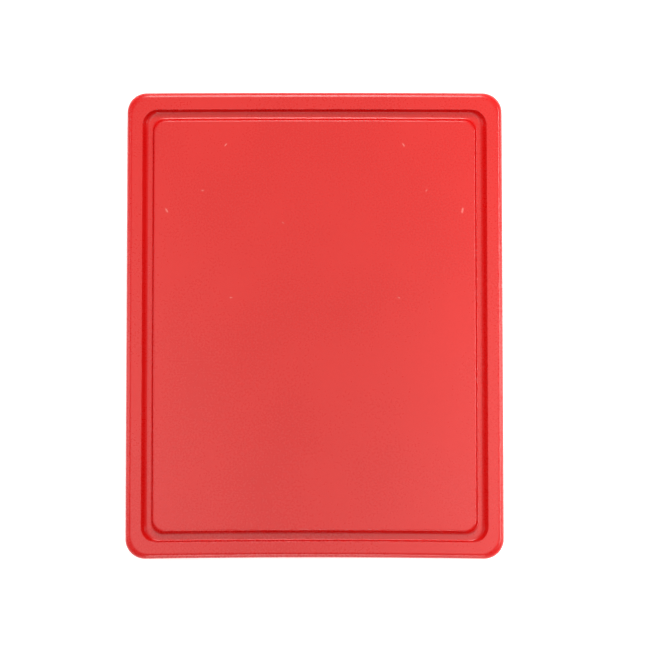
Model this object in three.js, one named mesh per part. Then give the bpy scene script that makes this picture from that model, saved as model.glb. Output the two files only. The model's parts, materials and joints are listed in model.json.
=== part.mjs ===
// A catering cutting board: one moulded slab of polyethylene with a juice groove round its top face.
//
// Millimetres, +Z up. X runs across the board and Y along it. The origin is the middle of the underside.
//
// The slab is a stack of rings, each a rounded rectangle. Two sections, one for the sides and one for the
// ends, say how far in from the outline each ring lies and how high. They run from the underside round the
// edge, over the rim, through the groove and up to the field that the food is cut on.

import * as THREE from 'three';

const { clamp, degToRad, lerp } = THREE.MathUtils;

// Driving dimensions
const length = 325;
const width = 262;
const thickness = 12;
const edgeRadius = 4.2;             // rounding of the outer edge, above and below
const nearEndBow = 0.9;             // the near end is drawn in by this much at its middle
const farEndBow = 0.35;             // the far end stands out by this much at its middle

// The groove. Each inset is from the outline to the top of a wall, before that wall is rounded.
const sideRim = 10.9;
const endRim = 11.8;
const sideField = 18.9;
const endField = 19.3;
const grooveDepth = 4;
const grooveShift = 0.45;           // the groove and the field lie this much nearer the near end
const outerCrest = 0.5;             // radius from the rim into the outer wall
const innerCrest = 1.4;             // radius from the inner wall onto the field

// The outer wall leans more along the sides than along the ends. A foot is the radius at a wall's bottom.
const sideOuterWall = { slope: degToRad(53), foot: 4.2 };
const endOuterWall = { slope: degToRad(78), foot: 1.4 };
const sideInnerWall = { slope: degToRad(82), foot: 1.2 };
const endInnerWall = { slope: degToRad(82), foot: 2.4 };

// Corner radii seen from above
const outlineCorner = 13.7;
const outerWallCorner = 11;
const fieldCorner = 8;

// Fineness of the facets. three.js makes two facets for each division of an arc.
const arcDivisions = 3;
const cornerSteps = 8;
const straightSteps = 6;

const plastic = new THREE.MeshStandardMaterial({ color: 0xdb2a22, roughness: 0.4, metalness: 0 });

const halfWidth = width / 2;
const halfLength = length / 2;
const grooveFloor = thickness - grooveDepth;
const quarterTurn = Math.PI / 2;

// How far a wall of this slope runs in plan, and how far its rounding of this radius reaches in plan.
const runOf = ({ slope }) => grooveDepth / Math.tan(slope);
const reachOf = (radius, { slope }) => radius * Math.tan(slope / 2);

// A section, as points whose x is the inset from the outline and whose y is the height.
function sectionPoints(rim, outerWall, field, innerWall) {
  const rimEnd = rim - reachOf(outerCrest, outerWall);
  const floorStart = rim + runOf(outerWall) + reachOf(outerWall.foot, outerWall);
  const floorEnd = field - runOf(innerWall) - reachOf(innerWall.foot, innerWall);
  const fieldStart = field + reachOf(innerCrest, innerWall);
  const down = quarterTurn - outerWall.slope;
  const up = innerWall.slope - quarterTurn;
  const underEdge = [edgeRadius, edgeRadius, edgeRadius];
  const topEdge = [edgeRadius, thickness - edgeRadius, edgeRadius];
  const outerFoot = [floorStart, grooveFloor + outerWall.foot, outerWall.foot];
  const innerFoot = [floorEnd, grooveFloor + innerWall.foot, innerWall.foot];
  const fieldEdge = [fieldStart, thickness - innerCrest, innerCrest];

  const section = new THREE.Path();
  section.absarc(...underEdge, -quarterTurn, -2 * quarterTurn, true);
  section.absarc(...topEdge, 2 * quarterTurn, quarterTurn, true);
  section.absarc(rimEnd, thickness - outerCrest, outerCrest, quarterTurn, down, true);
  section.absarc(...outerFoot, down - Math.PI, -quarterTurn);
  section.absarc(...innerFoot, -quarterTurn, up);
  section.absarc(...fieldEdge, up + Math.PI, quarterTurn, true);
  return section.getPoints(arcDivisions);
}

// The corners of the outline, of the groove's outer wall and of the field have radii of their own.
function cornerRadiusAt(inset) {
  const acrossRim = clamp(inset / sideRim, 0, 1);
  const acrossGroove = clamp((inset - sideRim) / (sideField - sideRim), 0, 1);
  return lerp(lerp(outlineCorner, outerWallCorner, acrossRim), fieldCorner, acrossGroove);
}

// The groove's shift along the board, which comes in over the rim.
function shiftAt(inset) {
  return -grooveShift * clamp((inset - edgeRadius) / (endRim - edgeRadius), 0, 1);
}

// Both ends bow the same way, the near end the more.
function bowAt(x, y) {
  const across = Math.min(Math.abs(x) / (halfWidth - outlineCorner), 1);
  const along = (y + halfLength) / length;
  return lerp(nearEndBow * (1 - across ** 2), -farEndBow * across ** 2, along);
}

// One ring, anticlockwise from the +X side: four rounded corners, each followed by a straight stretch.
// It passes through a point of the sides' section and a point of the ends' section.
function ringPoints(side, end) {
  const radius = cornerRadiusAt(side.x);
  const cornerX = halfWidth - side.x - radius;
  const cornerY = halfLength - end.x - radius;
  const signs = [[1, 1], [-1, 1], [-1, -1], [1, -1]];
  const cornerPoint = (corner, share) => {
    const [signX, signY] = signs[corner % signs.length];
    const angle = (corner + share) * quarterTurn;
    const height = lerp(side.y, end.y, corner % 2 === 0 ? share : 1 - share);
    const x = signX * cornerX + radius * Math.cos(angle);
    return new THREE.Vector3(x, signY * cornerY + radius * Math.sin(angle), height);
  };
  const ring = [];
  for (let corner = 0; corner < signs.length; corner += 1) {
    for (let step = 0; step <= cornerSteps; step += 1) {
      ring.push(cornerPoint(corner, step / cornerSteps));
    }
    const start = ring.at(-1);
    const next = cornerPoint(corner + 1, 0);
    for (let step = 1; step < straightSteps; step += 1) {
      ring.push(start.clone().lerp(next, step / straightSteps));
    }
  }
  ring.forEach((point) => { point.y += shiftAt(end.x) + bowAt(point.x, point.y); });
  return ring;
}

// Joins each ring to the next, and closes the first and the last with a fan round a middle point.
function slabFromRings(rings) {
  const count = rings[0].length;
  const points = rings.flat();
  const triangles = [];
  for (let ring = 0; ring + 1 < rings.length; ring += 1) {
    for (let step = 0; step < count; step += 1) {
      const here = ring * count + step;
      const beside = ring * count + (step + 1) % count;
      triangles.push(here, beside, beside + count);
      triangles.push(here, beside + count, here + count);
    }
  }
  const underside = points.push(new THREE.Vector3(0, 0, 0)) - 1;
  const field = points.push(new THREE.Vector3(0, 0, thickness)) - 1;
  const lastRing = (rings.length - 1) * count;
  for (let step = 0; step < count; step += 1) {
    const next = (step + 1) % count;
    triangles.push(underside, next, step);
    triangles.push(field, lastRing + step, lastRing + next);
  }
  const geometry = new THREE.BufferGeometry().setFromPoints(points);
  geometry.setIndex(triangles);
  geometry.computeVertexNormals();
  return geometry;
}

const sides = sectionPoints(sideRim, sideOuterWall, sideField, sideInnerWall);
const ends = sectionPoints(endRim, endOuterWall, endField, endInnerWall);
const rings = sides.map((side, index) => ringPoints(side, ends[index]));

const board = new THREE.Mesh(slabFromRings(rings), plastic);
board.name = 'board';

const cuttingBoard = new THREE.Group();
cuttingBoard.add(board);

export default cuttingBoard;
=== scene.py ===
import json
import math

import bpy
from mathutils import Euler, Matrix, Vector
from mathutils.geometry import delaunay_2d_cdt

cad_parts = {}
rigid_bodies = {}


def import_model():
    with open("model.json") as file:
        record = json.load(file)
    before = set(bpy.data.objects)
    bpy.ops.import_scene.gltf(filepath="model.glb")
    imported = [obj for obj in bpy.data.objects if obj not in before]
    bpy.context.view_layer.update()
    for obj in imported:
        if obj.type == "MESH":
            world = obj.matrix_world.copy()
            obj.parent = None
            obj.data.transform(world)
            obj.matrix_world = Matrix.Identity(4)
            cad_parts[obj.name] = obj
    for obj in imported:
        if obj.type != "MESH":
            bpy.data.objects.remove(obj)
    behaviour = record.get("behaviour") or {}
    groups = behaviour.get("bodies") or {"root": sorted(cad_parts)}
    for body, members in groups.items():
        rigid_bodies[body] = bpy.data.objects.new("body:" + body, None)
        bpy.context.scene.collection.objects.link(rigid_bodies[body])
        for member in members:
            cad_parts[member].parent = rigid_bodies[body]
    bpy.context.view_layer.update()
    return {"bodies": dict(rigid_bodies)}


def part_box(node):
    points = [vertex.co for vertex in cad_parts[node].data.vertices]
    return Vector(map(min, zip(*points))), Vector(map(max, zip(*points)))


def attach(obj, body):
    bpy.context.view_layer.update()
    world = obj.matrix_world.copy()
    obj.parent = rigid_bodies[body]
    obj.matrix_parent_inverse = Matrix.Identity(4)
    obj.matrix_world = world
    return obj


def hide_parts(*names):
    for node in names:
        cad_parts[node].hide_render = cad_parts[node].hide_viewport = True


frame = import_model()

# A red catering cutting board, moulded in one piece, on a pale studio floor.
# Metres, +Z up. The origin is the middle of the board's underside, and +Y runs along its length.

BODY = next(iter(frame["bodies"]))
MM = 0.001

# The board's overall size is the frame's. Everything else about its shape is worked out from these.
LOW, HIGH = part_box("board")
HALF_WIDTH = (HIGH[0] - LOW[0]) / 2
HALF_LENGTH = (HIGH[1] - LOW[1]) / 2
THICKNESS = HIGH[2] - LOW[2]
EDGE_RADIUS = 4.2 * MM           # rounding of the outer edge, above and below
NEAR_BOW = 0.9 * MM              # the near end is drawn in by this much at its middle
FAR_BOW = 0.35 * MM              # the far end stands out by this much at its middle

# The groove. Each inset is from the outline to the top of a wall, before that wall is rounded.
SIDE_RIM = 10.9 * MM
END_RIM = 11.8 * MM
SIDE_FIELD = 18.9 * MM
END_FIELD = 19.3 * MM
GROOVE_DEPTH = 4 * MM
GROOVE_SHIFT = 0.45 * MM         # the groove and the field lie this much nearer the near end
OUTER_CREST = 0.5 * MM           # radius from the rim into the outer wall
SIDE_SLOPE = math.radians(53)    # the outer wall leans more along the sides than along the ends
SIDE_FOOT = 4.2 * MM             # radius from the outer wall into the floor
END_SLOPE = math.radians(78)
END_FOOT = 1.4 * MM
INNER_SLOPE = math.radians(82)
SIDE_INNER_FOOT = 1.2 * MM       # radius from the floor into the inner wall
END_INNER_FOOT = 2.4 * MM
INNER_CREST = 1.4 * MM           # radius from the inner wall onto the field

# Corner radii seen from above
OUTLINE_CORNER = 13.7 * MM
OUTER_WALL_CORNER = 11 * MM
FIELD_CORNER = 8 * MM

# Small nicks in the field: where each one lies and its length, in millimetres, and its turn in degrees
NICKS = [
    (-62, 125.2, 2.0, 50),
    (62, 125.2, 2.2, 125),
    (-78, 93.2, 1.6, 170),
    (78, 93.2, 1.4, 60),
    (-103, 79.2, 2.8, 120),
    (103, 79.2, 3.2, 80),
    (-22, 70.7, 1.4, 150),
    (-58, 18.4, 1.7, 10),
    (58.5, 18.4, 1.5, 160),
]
NICK_ASPECT = 0.36               # a nick's width over its length
NICK_DEPTH = 0.15 * MM
# A nick's rings from the level field to its bottom: size, depth and how scuffed it is, each as a share
NICK_RINGS = [(1.6, 0, 0), (1.15, 0, 0.3), (0.9, 0.3, 1), (0.5, 0.9, 0.8), (0.12, 1, 0.6)]

# Fineness of the mesh
ARC_STEPS = 14                   # facets on each rounding of the section
CORNER_STEPS = 28
STRAIGHT_STEPS = 80
NICK_STEPS = 16
STRETCH_SHARES = (0.06, 0.94)    # where the two extra rings lie on each flat stretch between roundings
MARGIN = 0.3 * MM                # how far in from the last rounding the flat caps begin
CAP_INSIDE = 1                   # delaunay_2d_cdt's setting for triangles inside the outline only
CAP_TOLERANCE = 1e-8

# The plastic's colours, and how far its specks and scuffs go towards theirs
RED = (0.555, 0.002, 0.002, 1)
RED_LIGHTER = (0.585, 0.004, 0.003, 1)
RED_DEEPER = (0.515, 0.001, 0.001, 1)
RED_SCUFFED = (0.85, 0.3, 0.26, 1)
SPECK_SHARE = 0.3
SCUFF_SHARE = 0.6

# The plastic's gloss
ROUGHNESS = 0.28
ROUGHNESS_DRIFT = 0.02           # how far the clouds, and the specks, move it either way
STROKE_ROUGHNESS = 0.05          # how much the strokes of wiping add to it
PLASTIC_IOR = 1.5

# The plastic's texture: how large its features are across, and how high they stand
CLOUD_SIZE = 60 * MM
CLOUD_HEIGHT = 0.1 * MM
SPECK_SIZE = 1.4 * MM
GRAIN_SIZE = 0.5 * MM
GRAIN_HEIGHT = 0.004 * MM
STROKE_SIZE = 9 * MM
STROKE_LONG = 6                  # a stroke's length and width, each over that size
STROKE_THIN = 0.06
STROKE_HEIGHT = -0.01 * MM       # strokes are cut into the surface

# The floor's card
FLOOR_SIDE = 6
CARD_WHITE = (0.925, 0.925, 0.925, 1)
CARD_WHITER = (0.935, 0.935, 0.935, 1)
CARD_ROUGHNESS = (0.6, 0.7)
CARD_CLOUD_SIZE = 120 * MM
FIBRE_SIZE = 0.8 * MM
FIBRE_HEIGHT = 0.01 * MM
CARD_GLOW = 0.4                  # the card is lit a little from below, as on a light table

# The values of a noise, from 0 to 1, over which each pattern comes in
MIDDLE_VALUES = (0.3, 0.7)
SPECK_VALUES = (0.45, 0.75)
STROKE_VALUES = (0.62, 0.72)

# Light
WHITE_LIGHT = (1, 0.98, 0.96)
WARM_LIGHT = (1, 0.88, 0.72)
WORLD_STRENGTH = 0.42

# One warm softbox high above, and a pair of white ones on its left and right
OVERHEAD_SIDE = 0.8
OVERHEAD_HEIGHT = 1.75
OVERHEAD_FAR = 0.2               # towards the far end
PAIR_LONG = 1.1
PAIR_SHORT = 0.4
PAIR_HEIGHT = 1.7
PAIR_OUT = 0.38
PAIR_NEAR = 0.2                  # towards the near end

# Long panels out to the left and right, facing down
PANEL_WIDTH = 0.15
PANEL_LENGTH = 0.8
PANEL_HEIGHT = 0.5
PANEL_OUT = 0.73

# Softboxes on stands on all four sides
SIDE_BOX_DISTANCE = 1.1
SIDE_BOX_LONG = 0.5
SIDE_BOX_SHORT = 0.22

# Camera, straight above with a slight tilt
CAMERA_HEIGHT = 1.5
CAMERA_BACK = 0.085
CAMERA_LENS = 118.9
CAMERA_SHIFT = 0.016


def arc(centre, radius, start, end):
    """Points of one rounding of the section, both ends included."""
    angles = [start + (end - start) * step / ARC_STEPS for step in range(ARC_STEPS + 1)]
    return [(centre[0] + radius * math.cos(a), centre[1] + radius * math.sin(a)) for a in angles]


def section_points(rim, field, slope, outer_radius, inner_radius):
    """A section as (inset from the outline, height), from the underside up to the field."""
    quarter = math.pi / 2
    floor = THICKNESS - GROOVE_DEPTH
    outer_crest = rim - OUTER_CREST * math.tan(slope / 2)
    outer_foot = rim + GROOVE_DEPTH / math.tan(slope) + outer_radius * math.tan(slope / 2)
    inner_wall = field - GROOVE_DEPTH / math.tan(INNER_SLOPE)
    inner_foot = inner_wall - inner_radius * math.tan(INNER_SLOPE / 2)
    inner_crest = field + INNER_CREST * math.tan(INNER_SLOPE / 2)
    arcs = [
        arc((EDGE_RADIUS, EDGE_RADIUS), EDGE_RADIUS, -quarter, -2 * quarter),
        arc((EDGE_RADIUS, THICKNESS - EDGE_RADIUS), EDGE_RADIUS, 2 * quarter, quarter),
        arc((outer_crest, THICKNESS - OUTER_CREST), OUTER_CREST, quarter, quarter - slope),
        arc((outer_foot, floor + outer_radius), outer_radius, -quarter - slope, -quarter),
        arc((inner_foot, floor + inner_radius), inner_radius, -quarter, INNER_SLOPE - quarter),
        arc((inner_crest, THICKNESS - INNER_CREST), INNER_CREST, quarter + INNER_SLOPE, quarter),
    ]
    points = [(EDGE_RADIUS + MARGIN, 0)]
    for turn in arcs:
        start, end = Vector(points[-1]), Vector(turn[0])
        for share in STRETCH_SHARES:
            points.append(tuple(start.lerp(end, share)))
        points.extend(turn)
    points.append((points[-1][0] + MARGIN, THICKNESS))
    return points


def lerp(low, high, share):
    return low + (high - low) * share


def corner_radius(inset):
    """The radius of a ring's corners, seen from above."""
    if inset < SIDE_RIM:
        return lerp(OUTLINE_CORNER, OUTER_WALL_CORNER, inset / SIDE_RIM)
    share = (min(inset, SIDE_FIELD) - SIDE_RIM) / (SIDE_FIELD - SIDE_RIM)
    return lerp(OUTER_WALL_CORNER, FIELD_CORNER, share)


def shift(inset):
    """The groove's shift along the board, which comes in over the rim."""
    return -GROOVE_SHIFT * min(max((inset - EDGE_RADIUS) / (END_RIM - EDGE_RADIUS), 0), 1)


def bow(x, y):
    """Both ends bow the same way, the near end the more."""
    across = min(abs(x) / (HALF_WIDTH - OUTLINE_CORNER), 1)
    along = (y + HALF_LENGTH) / (2 * HALF_LENGTH)
    return lerp(NEAR_BOW * (1 - across ** 2), -FAR_BOW * across ** 2, along)


def ring_points(side, end):
    """One ring, anticlockwise from the +X side.

    It passes through a point of the sides' section and a point of the ends' section.
    """
    side_inset, side_height = side
    end_inset, end_height = end
    radius = corner_radius(side_inset)
    corner_x = HALF_WIDTH - side_inset - radius
    corner_y = HALF_LENGTH - end_inset - radius
    signs = [(1, 1), (-1, 1), (-1, -1), (1, -1)]

    def corner_point(corner, share):
        sign_x, sign_y = signs[corner % len(signs)]
        angle = (corner + share) * math.pi / 2
        height = lerp(side_height, end_height, share if corner % 2 == 0 else 1 - share)
        x = sign_x * corner_x + radius * math.cos(angle)
        y = sign_y * corner_y + radius * math.sin(angle)
        return Vector((x, y, height))

    ring = []
    for corner in range(len(signs)):
        for step in range(CORNER_STEPS + 1):
            ring.append(corner_point(corner, step / CORNER_STEPS))
        first, last = ring[-1], corner_point(corner + 1, 0)
        for step in range(1, STRAIGHT_STEPS):
            ring.append(first.lerp(last, step / STRAIGHT_STEPS))
    return [Vector((p.x, p.y + shift(end_inset) + bow(p.x, p.y), p.z)) for p in ring]


def nick_rings(x, y, length, turn):
    """A nick's rings of vertices, each with how scuffed it is."""
    rings = []
    for size, depth, scuffed in NICK_RINGS:
        height = THICKNESS - depth * NICK_DEPTH
        ring = []
        for step in range(NICK_STEPS):
            angle = 2 * math.pi * step / NICK_STEPS
            along = size * length / 2 * math.cos(angle)
            across = NICK_ASPECT * size * length / 2 * math.sin(angle)
            offset = Vector((along, across, 0))
            offset.rotate(Euler((0, 0, math.radians(turn))))
            ring.append(Vector((x, y, 0)) * MM + offset * MM + Vector((0, 0, height)))
        rings.append((ring, scuffed))
    return rings


def flat_cap(outline, loops, upward):
    """Triangles over a flat outline, with an edge along each closed loop of vertices inside it."""
    corners = [p.xy for p in outline]
    edges = []
    for loop in loops:
        first = len(corners)
        corners += [p.xy for p in loop]
        edges += [(first + step, first + (step + 1) % len(loop)) for step in range(len(loop))]
    around = list(range(len(outline)))
    result = delaunay_2d_cdt(corners, edges, [around], CAP_INSIDE, CAP_TOLERANCE)
    _, _, triangles, originals, *_ = result
    faces = [[originals[v][0] for v in triangle] for triangle in triangles]
    return faces if upward else [face[::-1] for face in faces]


def build_board():
    """The board as one closed mesh: the section's rings joined, and a flat cap at each end."""
    sides = section_points(SIDE_RIM, SIDE_FIELD, SIDE_SLOPE, SIDE_FOOT, SIDE_INNER_FOOT)
    ends = section_points(END_RIM, END_FIELD, END_SLOPE, END_FOOT, END_INNER_FOOT)
    rings = [ring_points(side, end) for side, end in zip(sides, ends)]
    count = len(rings[0])
    points = [p for ring in rings for p in ring]
    scuffed = [0] * len(points)
    faces = []
    for ring in range(len(rings) - 1):
        for step in range(count):
            here = ring * count + step
            beside = ring * count + (step + 1) % count
            faces.append([here, beside, beside + count, here + count])
    faces += flat_cap(rings[0], [], upward=False)
    last_ring = (len(rings) - 1) * count
    nicks = [ring for nick in NICKS for ring in nick_rings(*nick)]
    for face in flat_cap(rings[-1], [ring for ring, _ in nicks], upward=True):
        faces.append([last_ring + v for v in face])
    for ring, share in nicks:
        points += ring
        scuffed += [share] * len(ring)
    mesh = bpy.data.meshes.new("moulded_board")
    mesh.from_pydata(points, [], faces)
    mesh.attributes.new("scuffed", "FLOAT", "POINT").data.foreach_set("value", scuffed)
    mesh.validate()
    mesh.shade_smooth()
    board = bpy.data.objects.new("moulded_board", mesh)
    bpy.context.scene.collection.objects.link(board)
    return board


class Nodes:
    """Adds nodes to a material's tree and links them, so that a material reads from top to bottom."""

    def __init__(self, name):
        self.material = bpy.data.materials.new(name)
        self.material.use_nodes = True
        self.tree = self.material.node_tree
        self.shader = self.tree.nodes["Principled BSDF"]
        self.place = self.add("ShaderNodeTexCoord").outputs["Object"]

    def add(self, kind, **settings):
        node = self.tree.nodes.new(kind)
        for name, value in settings.items():
            setattr(node, name, value)
        return node

    def put(self, socket, value):
        """Links an output to a socket, or sets the socket's own value."""
        if isinstance(value, bpy.types.NodeSocket):
            self.tree.links.new(value, socket)
        else:
            socket.default_value = value

    def noise(self, size, detail=2, roughness=0.5, stretch=(1, 1, 1)):
        """Noise from 0 to 1 whose features are about this many metres across."""
        mapping = self.add("ShaderNodeMapping")
        self.put(mapping.inputs["Vector"], self.place)
        mapping.inputs["Scale"].default_value = [1 / (size * s) for s in stretch]
        noise = self.add("ShaderNodeTexNoise")
        self.put(noise.inputs["Vector"], mapping.outputs["Vector"])
        noise.inputs["Scale"].default_value = 1
        noise.inputs["Detail"].default_value = detail
        noise.inputs["Roughness"].default_value = roughness
        return noise.outputs[0]

    def ramp(self, value, values, results=(0, 1)):
        """Maps a value from one range to another, clamped."""
        node = self.add("ShaderNodeMapRange")
        self.put(node.inputs["Value"], value)
        node.inputs["From Min"].default_value, node.inputs["From Max"].default_value = values
        node.inputs["To Min"].default_value, node.inputs["To Max"].default_value = results
        return node.outputs["Result"]

    def maths(self, operation, first, second):
        node = self.add("ShaderNodeMath", operation=operation)
        self.put(node.inputs[0], first)
        self.put(node.inputs[1], second)
        return node.outputs["Value"]

    def blend(self, share, first, second):
        """A colour between two others."""
        node = self.add("ShaderNodeMix", data_type="RGBA")
        self.put(node.inputs["Factor"], share)
        colours = [socket for socket in node.inputs if socket.type == "RGBA"]
        self.put(colours[0], first)
        self.put(colours[1], second)
        return next(socket for socket in node.outputs if socket.type == "RGBA")

    def bump(self, pattern, height, strength, below=None):
        """A pattern that stands this many metres high, on top of an earlier bump."""
        node = self.add("ShaderNodeBump")
        self.put(node.inputs["Height"], pattern)
        node.inputs["Distance"].default_value = height
        node.inputs["Strength"].default_value = strength
        if below is not None:
            self.put(node.inputs["Normal"], below)
        return node.outputs["Normal"]


def red_polyethylene():
    """Satin moulded polyethylene, a little mottled, with a fine grain, faint strokes and pale nicks."""
    nodes = Nodes("red_polyethylene")
    shader = nodes.shader
    attribute = nodes.add("ShaderNodeAttribute", attribute_name="scuffed")
    scuffed = attribute.outputs["Fac"]
    clouds = nodes.noise(CLOUD_SIZE, detail=3)
    specks = nodes.noise(SPECK_SIZE, detail=2)
    grain = nodes.noise(GRAIN_SIZE, detail=3, roughness=0.6)
    across = (STROKE_LONG, STROKE_THIN, 1)
    along = (STROKE_THIN, STROKE_LONG, 1)
    strokes_across = nodes.noise(STROKE_SIZE, detail=4, roughness=0.7, stretch=across)
    strokes_along = nodes.noise(STROKE_SIZE, detail=4, roughness=0.7, stretch=along)

    red = nodes.blend(nodes.ramp(clouds, MIDDLE_VALUES), RED, RED_LIGHTER)
    red = nodes.blend(nodes.ramp(specks, SPECK_VALUES, (0, SPECK_SHARE)), red, RED_DEEPER)
    red = nodes.blend(nodes.maths("MULTIPLY", scuffed, SCUFF_SHARE), red, RED_SCUFFED)
    nodes.put(shader.inputs["Base Color"], red)

    strokes = nodes.maths("MAXIMUM", strokes_across, strokes_along)
    strokes = nodes.ramp(strokes, STROKE_VALUES)
    drift = (ROUGHNESS - ROUGHNESS_DRIFT, ROUGHNESS + ROUGHNESS_DRIFT)
    roughness = nodes.ramp(clouds, MIDDLE_VALUES, drift)
    speckled = nodes.ramp(specks, MIDDLE_VALUES, (-ROUGHNESS_DRIFT, ROUGHNESS_DRIFT))
    roughness = nodes.maths("ADD", roughness, speckled)
    wiped = nodes.maths("MULTIPLY", strokes, STROKE_ROUGHNESS)
    nodes.put(shader.inputs["Roughness"], nodes.maths("ADD", roughness, wiped))

    waves = nodes.bump(clouds, CLOUD_HEIGHT, strength=0.5)
    scratches = nodes.bump(strokes, STROKE_HEIGHT, strength=0.5, below=waves)
    surface = nodes.bump(grain, GRAIN_HEIGHT, strength=0.6, below=scratches)
    nodes.put(shader.inputs["Normal"], surface)
    shader.inputs["IOR"].default_value = PLASTIC_IOR
    return nodes.material


def pale_card():
    """The light table's matt white card, with the faint unevenness of its fibres."""
    nodes = Nodes("pale_card")
    shader = nodes.shader
    clouds = nodes.noise(CARD_CLOUD_SIZE, detail=2)
    fibres = nodes.noise(FIBRE_SIZE, detail=3, roughness=0.6)
    nodes.put(shader.inputs["Base Color"], nodes.blend(clouds, CARD_WHITE, CARD_WHITER))
    nodes.put(shader.inputs["Roughness"], nodes.ramp(fibres, MIDDLE_VALUES, CARD_ROUGHNESS))
    nodes.put(shader.inputs["Normal"], nodes.bump(fibres, FIBRE_HEIGHT, strength=0.3))
    shader.inputs["Emission Color"].default_value = (1, 1, 1, 1)
    shader.inputs["Emission Strength"].default_value = CARD_GLOW
    return nodes.material


def build_floor():
    mesh = bpy.data.meshes.new("studio_floor")
    side = FLOOR_SIDE / 2
    corners = [(-side, -side, 0), (side, -side, 0), (side, side, 0), (-side, side, 0)]
    mesh.from_pydata(corners, [], [[0, 1, 2, 3]])
    floor = bpy.data.objects.new("studio_floor", mesh)
    bpy.context.scene.collection.objects.link(floor)
    mesh.materials.append(pale_card())
    return floor


def softbox(name, place, width, height, power, colour=WHITE_LIGHT):
    """An oblong softbox that faces the middle of the board."""
    light = bpy.data.lights.new(name, "AREA")
    light.shape = "RECTANGLE"
    light.size = width
    light.size_y = height
    light.energy = power
    light.color = colour
    lamp = bpy.data.objects.new(name, light)
    lamp.location = place
    lamp.rotation_mode = "QUATERNION"
    lamp.rotation_quaternion = (-Vector(place)).to_track_quat("-Z", "Y")
    bpy.context.scene.collection.objects.link(lamp)
    return lamp


def side_panel(name, x, power):
    """A long panel that faces straight down, with a grid that keeps its light to its own half."""
    lamp = softbox(name, (x, 0, PANEL_HEIGHT), PANEL_WIDTH, PANEL_LENGTH, power)
    lamp.rotation_quaternion = (1, 0, 0, 0)
    lamp.data.spread = 2 * math.atan2(abs(x), PANEL_HEIGHT)


def side_box(name, bearing, elevation, power, upright=False):
    """A softbox on a stand beside the board, turned on end if upright.

    Its bearing is anticlockwise from +X. Bearing and elevation are in degrees.
    """
    turn, rise = math.radians(bearing), math.radians(elevation)
    away = SIDE_BOX_DISTANCE * math.cos(rise)
    place = (away * math.cos(turn), away * math.sin(turn), SIDE_BOX_DISTANCE * math.sin(rise))
    width, height = (SIDE_BOX_SHORT, SIDE_BOX_LONG) if upright else (SIDE_BOX_LONG, SIDE_BOX_SHORT)
    softbox(name, place, width, height, power)


def build_lights():
    """Overhead softboxes and, lower down, panels and boxes that pick out the groove and the edges."""
    middle = (0, OVERHEAD_FAR, OVERHEAD_HEIGHT)
    left = (-PAIR_OUT, -PAIR_NEAR, PAIR_HEIGHT)
    right = (PAIR_OUT, -PAIR_NEAR, PAIR_HEIGHT)
    softbox("overhead", middle, OVERHEAD_SIDE, OVERHEAD_SIDE, power=2.0, colour=WARM_LIGHT)
    softbox("left_overhead", left, PAIR_LONG, PAIR_SHORT, power=3.2)
    softbox("right_overhead", right, PAIR_LONG, PAIR_SHORT, power=3.9)
    side_panel("left_panel", -PANEL_OUT, power=2.6)
    side_panel("right_panel", PANEL_OUT, power=14)
    side_box("far_low_box", bearing=90, elevation=35, power=6.2)
    side_box("far_box", bearing=90, elevation=50, power=2.3)
    side_box("near_box", bearing=-90, elevation=22, power=3.0)
    side_box("left_low_box", bearing=180, elevation=20, power=1.2, upright=True)
    side_box("right_low_box", bearing=0, elevation=18, power=1.5, upright=True)


def build_camera():
    data = bpy.data.cameras.new("camera")
    data.lens = CAMERA_LENS
    data.shift_x = CAMERA_SHIFT
    camera = bpy.data.objects.new("camera", data)
    camera.location = (0, -CAMERA_BACK, CAMERA_HEIGHT)
    camera.rotation_euler = (math.atan2(CAMERA_BACK, CAMERA_HEIGHT), 0, 0)
    bpy.context.scene.collection.objects.link(camera)
    bpy.context.scene.camera = camera


def build_world():
    world = bpy.data.worlds.new("studio")
    world.use_nodes = True
    background = world.node_tree.nodes["Background"]
    background.inputs["Color"].default_value = (*WHITE_LIGHT, 1)
    background.inputs["Strength"].default_value = WORLD_STRENGTH
    bpy.context.scene.world = world


build_camera()
board = build_board()
board.data.materials.append(red_polyethylene())
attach(board, BODY)
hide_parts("board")
build_floor()
build_world()
build_lights()
bpy.context.scene.view_settings.view_transform = "Standard"
